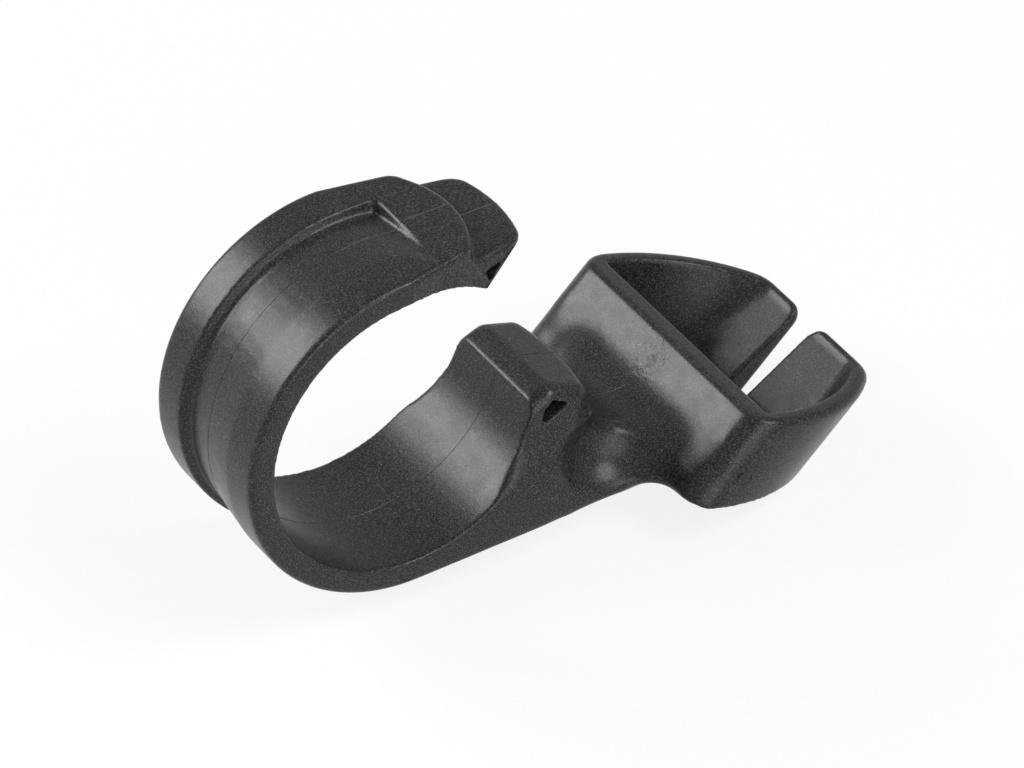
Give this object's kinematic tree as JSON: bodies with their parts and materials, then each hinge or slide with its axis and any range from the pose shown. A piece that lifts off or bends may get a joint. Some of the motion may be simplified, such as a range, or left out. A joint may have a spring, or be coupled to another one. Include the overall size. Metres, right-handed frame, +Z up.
{
  "type": "stem accessory mount",
  "caption": "one-piece moulded clip for a bicycle stem or bar, with hooked lugs either side of its mouth and a short arm to a leaning slotted cup for a light or other accessory",
  "frame": {"origin": "on the axis of the bar that the clip holds, half way along the clip", "axes": "+X from the clip to the cup, +Y along the bar's axis, away from the viewer of the picture, +Z up"},
  "size_m": [0.0727, 0.0338, 0.0405],
  "materials": {
    "glass_filled_nylon": "satin black glass-filled nylon with fine pale flecks"
  },
  "bodies": {
    "root": {"mount_body": "glass_filled_nylon"}
  },
  "joints": []
}
